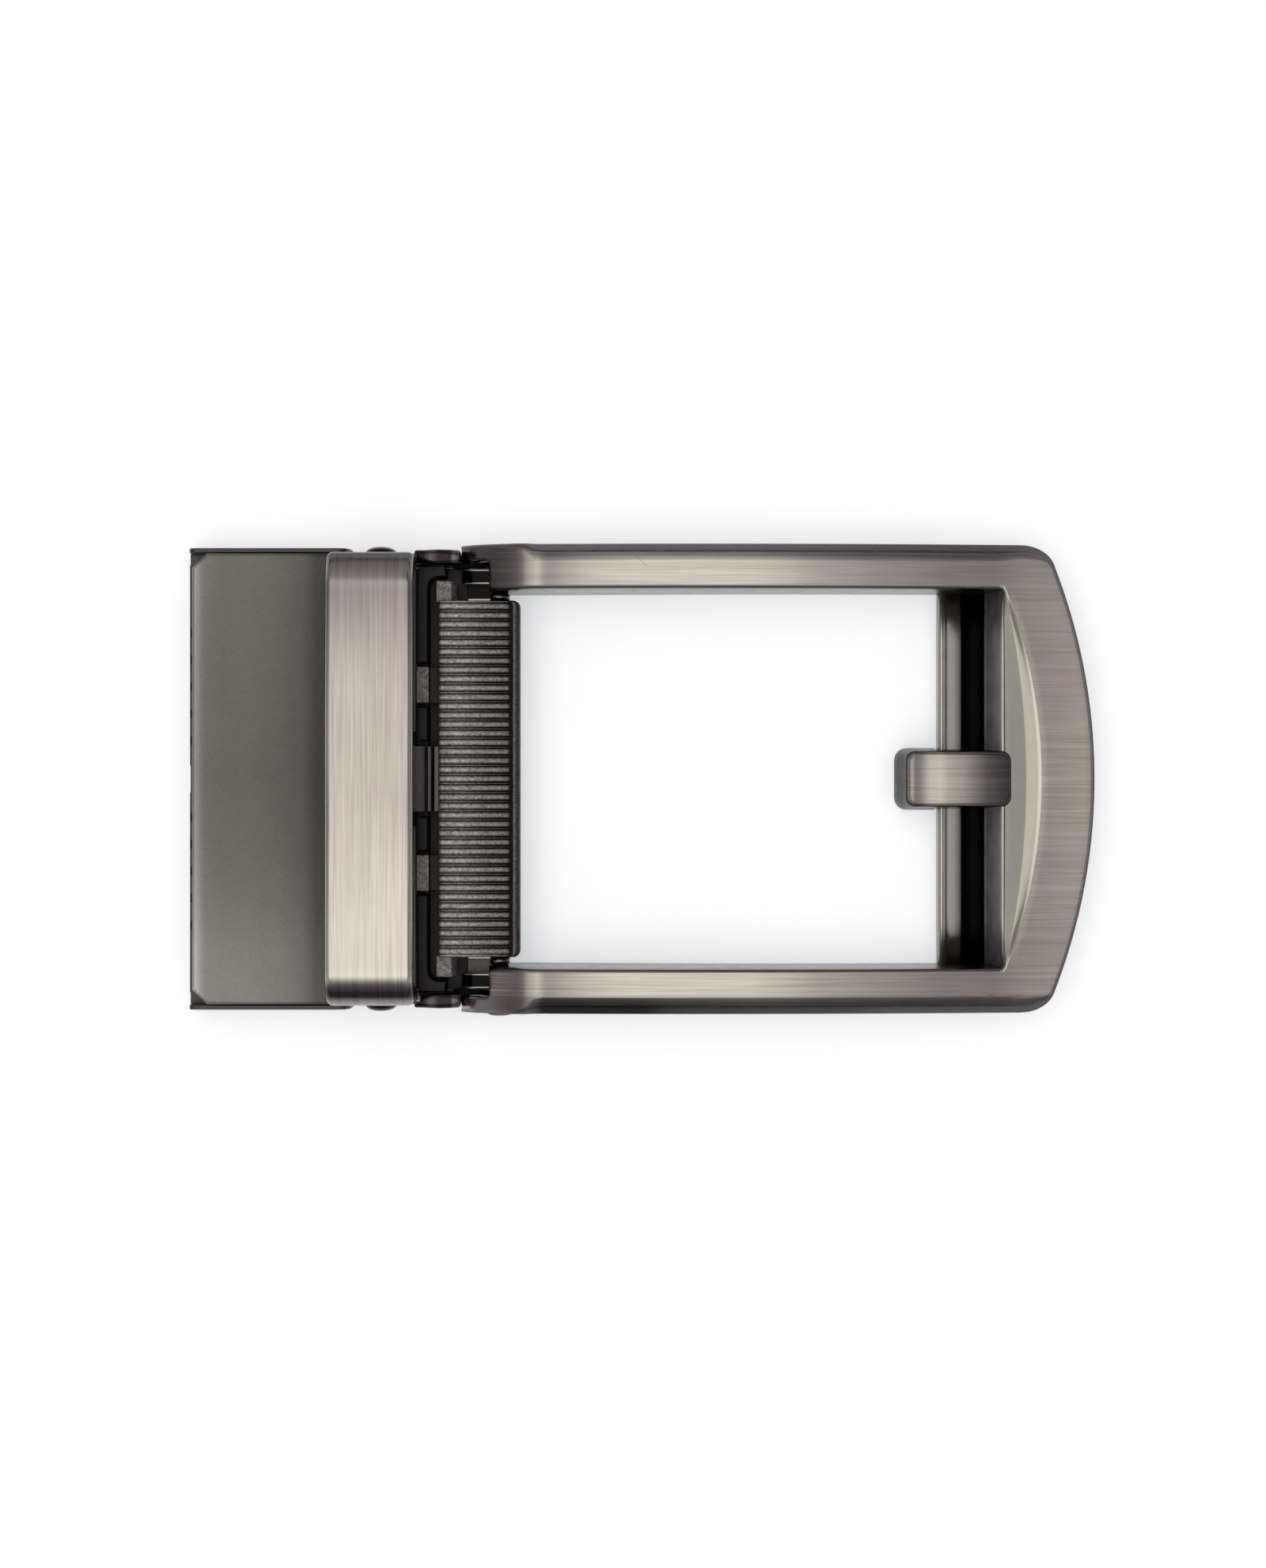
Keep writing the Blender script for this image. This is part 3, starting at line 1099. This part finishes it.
def flap_half(side):
    """Wall, hinge ear, screw boss and teeth on one side of the flap."""
    left, wide, top = FLAP_LO[0] + 0.3, FLAP_WIDE_END, FLAP_HI[2]
    wall = [(left, 0.4), (wide, 0.4), (wide, 3.0), (wide - 0.35, top - 0.35), (wide - 1.2, top)]
    wall += [(left + 0.8, top), (left + 0.2, top - 0.25), (left, top - 0.9)]
    parts = [prism("wall", wall, "y", *across(side, 19.95, FLAP_HI[1]), FLAP_STEEL)]
    ear = [(wide + 0.4, 0.5), (RIVET_X + 0.6, 0.5), (RIVET_X + 1.3, RIVET_Z), (RIVET_X - 1.5, RIVET_Z + 0.6)]
    parts.append(prism("ear", ear, "y", *across(side, EAR_IN, EAR_OUT), FLAP_STEEL))
    eye = circle(RIVET_X, RIVET_Z, 1.7, 30)
    parts.append(prism("eye", eye, "y", *across(side, EAR_IN + 0.003, EAR_OUT - 0.003), FLAP_STEEL))
    boss = circle(SCREW_X, side * SCREW_Y, 2.3, 36)
    parts.append(prism("boss", boss, "z", 0.4, FLAP_TOOTH_TOP, FLAP_STEEL))
    lip = [(side * 1.2, 0.4), (side * 19.0, 0.4), (side * 19.0, 1.3), (side * 1.2, 1.3)]
    parts.append(prism("lip", lip, "x", FLAP_LO[0] + 0.02, FLAP_LO[0] + 0.8, FLAP_STEEL))
    for k in range(5):
        y = side * (3.4 + k * 2.4)
        start, end = y - 0.9, y + 0.9
        tooth = [(start, 0.4), (end, 0.4), (end, FLAP_THICK), (y, FLAP_TOOTH_TOP), (start, FLAP_THICK)]
        parts.append(prism("flap_tooth", tooth, "x", FLAP_LO[0] + 0.1, FLAP_LO[0] + 0.9, FLAP_STEEL))
    return parts


def clamp_flap():
    """Toothed tray behind the plate, hinged on the rivets."""
    left, corner, end = FLAP_LO[0], 0.3, RIVET_X + 0.6
    half = FLAP_HI[1]
    lower = arc_points(left + corner, corner - half, corner, 180, 270, 6)
    lower += [(FLAP_WIDE_END, -half), (FLAP_WIDE_END, -EAR_OUT), (end, -EAR_OUT), (end, -EAR_IN)]
    lower += [(-24.3, -EAR_IN)]
    outline = lower + [(x, -y) for x, y in reversed(lower)]
    flap = prism("flap_floor", outline, "z", 0, FLAP_THICK, FLAP_STEEL)
    combine(flap, *flap_half(1), *flap_half(-1))
    cut(flap, bore(RIVET_X, RIVET_Z, 1.05, FLAP_STEEL))
    for side in (1, -1):
        hole = circle(SCREW_X, side * SCREW_Y, SCREW_R + 0.25, 36)
        cut(flap, prism("screw_hole", hole, "z", -1, 4, FLAP_STEEL))
    return rounded(flap, 0.1, 2, 35)


def set_screw(side):
    """Headless screw with a hexagon socket and rounded thread crests."""
    x, y = SCREW_X, side * SCREW_Y
    profile = [(0.75, 0.1), (SCREW_R - 0.2, 0.1), (SCREW_R - 0.03, 0.28)]
    for k in range(4):
        z = 0.38 + k * 0.36
        profile += [(SCREW_R, z), (SCREW_R - 0.16, z + 0.13), (SCREW_R - 0.16, z + 0.2)]
    profile += [(SCREW_R - 0.05, 1.8), (SCREW_R - 0.25, 1.9), (0.3, 1.9)]
    rings = [[(u, v, z) for u, v in circle(x, y, radius, 36)] for radius, z in profile]
    screw = loft(named("grub_screw", side), rings, [TOOTH_STEEL])
    return cut(screw, prism("socket", circle(x, y, 0.72, 6), "z", -1, 1.0, TOOTH_STEEL))


def dome(centre, radius, base, height, side, name, material):
    """A domed head on the outside, facing side."""
    profile = [(radius * 0.6, base - 0.02), (radius - 0.03, base), (radius, base + height * 0.12)]
    for k in range(1, 8):
        angle = math.radians(90 * k / 8)
        profile.append((radius * math.cos(angle) ** 0.8, base + height * (0.2 + 0.8 * math.sin(angle))))
    profile.append((radius * 0.08, base + height))
    return turned(name, centre, [(r, side * y) for r, y in profile], material)


def clamp_rivet(side):
    """Domed head outside the cheek and the shank through the flap's ear."""
    centre = (RIVET_X, RIVET_Z)
    head = dome(centre, 1.43, 19.7, 0.84, side, named("rivet_head", side), CHEEK_METAL)
    profile = [(1.1, 16.92), (1.28, 17.0), (1.3, 17.35), (0.9, 17.4), (0.9, 19.8)]
    return head, turned(named("rivet_shank", side), centre, [(r, side * y) for r, y in profile], CHEEK_METAL)


def hinge_pin():
    """Long pin with a collar beside each fork, and its two riveted heads."""
    centre = (PIN_X, PIN_Z)
    collar = [(0.73, 15.72), (0.88, 15.76), (0.88, 16.26), (0.73, 16.3), (0.73, 20.3), (0.5, 20.4)]
    profile = [(radius, -y) for radius, y in reversed(collar)] + collar
    shank = turned("pin_shank", centre, profile, PIN_METAL)
    heads = [dome(centre, 1.1, base, height, side, named("pin_head", side), PIN_METAL)
             for side, base, height in ((1, 20.45, 0.14), (-1, 20.6, 0.3))]
    return shank, heads


def lever_spring(side):
    """Torsion spring round the pin: one leg under the lever and one on the housing floor."""
    coil, wire, turns, steps_per_turn = 1.1, 0.15, 6.5, 20
    start, length = 5.1, 3.0
    path = []
    steps = round(turns * steps_per_turn)
    for k in range(steps + 1):
        t = k / steps
        angle = math.pi / 2 + t * turns * 2 * math.pi
        x, z = PIN_X + coil * math.cos(angle), PIN_Z + coil * math.sin(angle)
        path.append(Vector((x, side * (start + t * length), z)))
    path.insert(0, path[0] + Vector((-1.5, 0, 0)))
    path.append(path[-1] + Vector((-3.3, 0, 0)))
    rings = []
    for k, point in enumerate(path):
        along = (path[min(len(path) - 1, k + 1)] - path[max(0, k - 1)]).normalized()
        flat = Vector((0, 1, 0)).cross(along).normalized()
        other = along.cross(flat)
        rings.append([point + flat * u + other * v for u, v in circle(0, 0, wire, 10)])
    return loft(named("spring_coil", side), rings, [SPRING_METAL])


place(clamp_flap(), "clamp", "dark_steel", "clamp_flap")
for side, screw_body in ((1, "upper_screw"), (-1, "lower_screw")):
    place(set_screw(side), screw_body, "dark_steel", named("set_screw", side))
    head, shank = clamp_rivet(side)
    place(head, "body", "polished_dark", named("clamp_rivet", side))
    place(shank, "body", "polished_dark")
    place(lever_spring(side), "body", "spring_wire", named("lever_spring", side))
pin, pin_heads = hinge_pin()
place(pin, "body", "polished_dark", "hinge_pin")
for head in pin_heads:
    place(head, "body", "polished_dark")


# --- Camera, floor and light
CAMERA_HEIGHT = 256.0
CAMERA_AIM = (-0.56, -0.45)


def add_camera():
    data = bpy.data.cameras.new("camera")
    data.sensor_fit = "HORIZONTAL"
    data.sensor_width = 36.0
    data.lens = 81.4
    data.clip_start = 0.01
    data.dof.use_dof = False
    camera = bpy.data.objects.new("camera", data)
    camera.location = Vector((CAMERA_AIM[0], CAMERA_AIM[1], CAMERA_HEIGHT)) * MM
    bpy.context.scene.collection.objects.link(camera)
    bpy.context.scene.camera = camera


def add_floor():
    """Wide pale paper with a low rim far away."""
    reach, rim = 8.0, 0.2
    corners = [(-reach, -reach), (reach, -reach), (reach, reach), (-reach, reach)]
    verts = [(x, y, z) for z in (0, rim) for x, y in corners]
    walls = [(k, k + 4, (k + 1) % 4 + 4, (k + 1) % 4) for k in range(4)]
    mesh = bpy.data.meshes.new("floor")
    mesh.from_pydata(verts, [], [(0, 1, 2, 3)] + walls)
    paper = Nodes("floor_paper", 0.0)
    for socket, value in (("Roughness", 0.8), ("Specular IOR Level", 0.1), ("Emission Strength", 0.44),
                          ("Base Color", rgba(0.9, 0.88, 0.86)), ("Emission Color", rgba(0.9, 0.95, 1.0))):
        paper.shader.inputs[socket].default_value = value
    mesh.materials.append(paper.material)
    floor = bpy.data.objects.new("floor", mesh)
    floor.location.z = -0.00002
    bpy.context.scene.collection.objects.link(floor)


def add_area(name, location, size, power, colour):
    data = bpy.data.lights.new(name, "AREA")
    data.shape = "RECTANGLE"
    data.size, data.size_y = size
    data.energy = power
    data.color = colour
    lamp = bpy.data.objects.new(name, data)
    lamp.location = location
    lamp.rotation_euler = (-Vector(location)).to_track_quat("-Z", "Y").to_euler()
    bpy.context.scene.collection.objects.link(lamp)


def add_world():
    """One broad soft light overhead, a little to the left, over a dark mauve room with a paler band."""
    world = bpy.data.worlds.new("studio")
    bpy.context.scene.world = world
    world.use_nodes = True
    nodes = Tree(world.node_tree)
    direction = nodes.add("ShaderNodeTexCoord").outputs["Generated"]
    facing = nodes.add("ShaderNodeVectorMath")
    facing.operation = "DOT_PRODUCT"
    nodes.feed(facing.inputs[0], direction)
    nodes.feed(facing.inputs[1], Vector((-0.08, -0.08, 1.0)).normalized())
    edge, core = math.cos(math.radians(48)), math.cos(math.radians(4))
    light = nodes.spread(facing.outputs["Value"], 0.0, 1.0, (edge, core), "SMOOTHSTEP")
    room = nodes.blend(light, rgba(0.15, 0.132, 0.146), rgba(1.68, 1.65, 1.605))
    height = nodes.add("ShaderNodeSeparateXYZ", Vector=direction).outputs["Z"]
    away = nodes.distance(height, math.sin(math.radians(24)))
    band = nodes.spread(away, 0.0, 1.0, (0.32, 0.05), "SMOOTHSTEP")
    nodes.feed(nodes.tree.nodes["Background"].inputs["Color"], nodes.blend(band, room, rgba(0.62, 0.6, 0.61)))


add_camera()
bpy.context.scene.view_settings.view_transform = "Standard"
add_floor()
add_area("key", (-0.20, 0.45, 0.6), (0.4, 0.3), 0.25, (1.0, 0.985, 0.96))
add_world()

bpy.context.view_layer.update()
